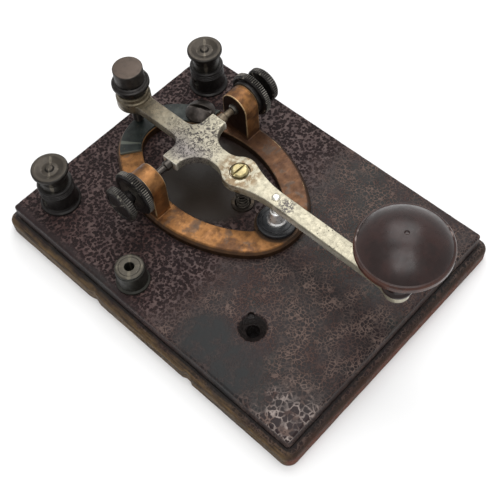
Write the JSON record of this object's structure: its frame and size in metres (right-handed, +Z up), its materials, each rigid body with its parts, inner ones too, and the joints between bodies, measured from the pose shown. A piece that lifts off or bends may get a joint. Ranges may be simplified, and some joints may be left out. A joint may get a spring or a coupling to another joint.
{
  "type": "morse key",
  "caption": "Straight telegraph key: a sprung steel lever with a round knob pivots in an oval brass frame on a moulded wooden board with binding posts.",
  "frame": {"origin": "centre of the board's underside, where the board rests on the bench", "axes": "+Z up; the lever lies along Y with its knob towards -Y and its rear stop towards +Y; the pivot lies along X, and +X is the operator's right"},
  "size_m": [0.1016, 0.141, 0.0595],
  "materials": {
    "varnished_board": "dark brown varnish, crazed all over, worn to olive brown wood along the lower edge",
    "frame_brass": "aged copper-orange brass with brown patches",
    "stop_plate": "green-black oxidised plate",
    "dark_bronze": "nearly black oxidised metal, satin",
    "worn_bronze": "olive grey metal worn on its edges",
    "bright_brass": "plain yellow brass",
    "nickel_plate": "bright nickel",
    "worn_nickel": "yellowed nickel",
    "lever_steel": "worn plated steel with grey mottling and pits",
    "spring_steel": "plain drawn steel",
    "hard_rubber": "black moulded hard rubber",
    "knob_composition": "turned dark brown composition, polished by use"
  },
  "bodies": {
    "base": {"base_board": "varnished_board", "key_frame": "frame_brass", "rear_stop_plate": "stop_plate", "frame_screw": "dark_bronze", "frame_screw_nut": "bright_brass", "anvil_bush": "hard_rubber", "anvil_lower_washer": "hard_rubber", "anvil": "nickel_plate", "anvil_contact": "nickel_plate", "anvil_nut": "bright_brass", "spring_cup": "frame_brass", "return_spring": "spring_steel", "post_left": "dark_bronze", "post_right": "dark_bronze", "bare_post": "worn_bronze", "terminal_nuts": "bright_brass", "frame_strap": "bright_brass", "anvil_strap": "bright_brass"},
    "lever": {"lever": "lever_steel", "pivot_pin_left": "spring_steel", "pivot_pin_right": "spring_steel", "contact_rivet": "nickel_plate", "knob": "knob_composition", "knob_screw": "dark_bronze"},
    "pivot_screw_left": {"pivot_screw_left": "dark_bronze"},
    "pivot_screw_right": {"pivot_screw_right": "dark_bronze"},
    "pivot_nut_left": {"pivot_nut_left": "dark_bronze"},
    "pivot_nut_right": {"pivot_nut_right": "dark_bronze"},
    "thumb_screw_left": {"thumb_screw_left": "worn_bronze"},
    "thumb_screw_right": {"thumb_screw_right": "worn_bronze"},
    "rear_adjust_screw": {"rear_adjust_screw": "worn_bronze"},
    "rear_lock_nut": {"rear_lock_nut": "dark_bronze"},
    "spring_screw": {"spring_screw": "worn_nickel"},
    "spring_lock_nut": {"spring_lock_nut": "worn_bronze"}
  },
  "joints": [
    {"name": "lever_press", "type": "hinge", "parent": "base", "child": "lever", "pos_m": [0.0056, 0.0254, 0.0288], "axis": [1, 0, 0], "range_deg": [0, 1.15], "stiffness_Nm_per_rad": 0.8, "springref_deg": -8.59, "deforming": ["return_spring"]},
    {"name": "pivot_screw_left_turn", "type": "hinge", "parent": "base", "child": "pivot_screw_left", "pos_m": [0.0056, 0.0254, 0.0288], "axis": [1, 0, 0], "continuous": true},
    {"name": "pivot_screw_right_turn", "type": "hinge", "parent": "base", "child": "pivot_screw_right", "pos_m": [0.0056, 0.0254, 0.0288], "axis": [1, 0, 0], "continuous": true},
    {"name": "pivot_nut_left_turn", "type": "hinge", "parent": "base", "child": "pivot_nut_left", "pos_m": [0.0056, 0.0254, 0.0288], "axis": [1, 0, 0], "continuous": true},
    {"name": "pivot_nut_right_turn", "type": "hinge", "parent": "base", "child": "pivot_nut_right", "pos_m": [0.0056, 0.0254, 0.0288], "axis": [1, 0, 0], "continuous": true},
    {"name": "thumb_screw_left_turn", "type": "hinge", "parent": "base", "child": "thumb_screw_left", "pos_m": [-0.0349, 0.053, 0.0247], "axis": [0, 0, 1], "continuous": true},
    {"name": "thumb_screw_right_turn", "type": "hinge", "parent": "base", "child": "thumb_screw_right", "pos_m": [0.0368, 0.0515, 0.0247], "axis": [0, 0, 1], "continuous": true},
    {"name": "rear_adjust_turn", "type": "hinge", "parent": "lever", "child": "rear_adjust_screw", "pos_m": [0.0056, 0.0556, 0.0305], "axis": [0, 0, 1], "continuous": true},
    {"name": "rear_lock_nut_turn", "type": "hinge", "parent": "lever", "child": "rear_lock_nut", "pos_m": [0.0056, 0.0556, 0.0305], "axis": [0, 0, 1], "continuous": true},
    {"name": "spring_screw_turn", "type": "hinge", "parent": "lever", "child": "spring_screw", "pos_m": [0.0056, 0.0046, 0.0305], "axis": [0, 0, 1], "continuous": true},
    {"name": "spring_lock_nut_turn", "type": "hinge", "parent": "lever", "child": "spring_lock_nut", "pos_m": [0.0056, 0.0046, 0.0271], "axis": [0, 0, 1], "continuous": true}
  ]
}
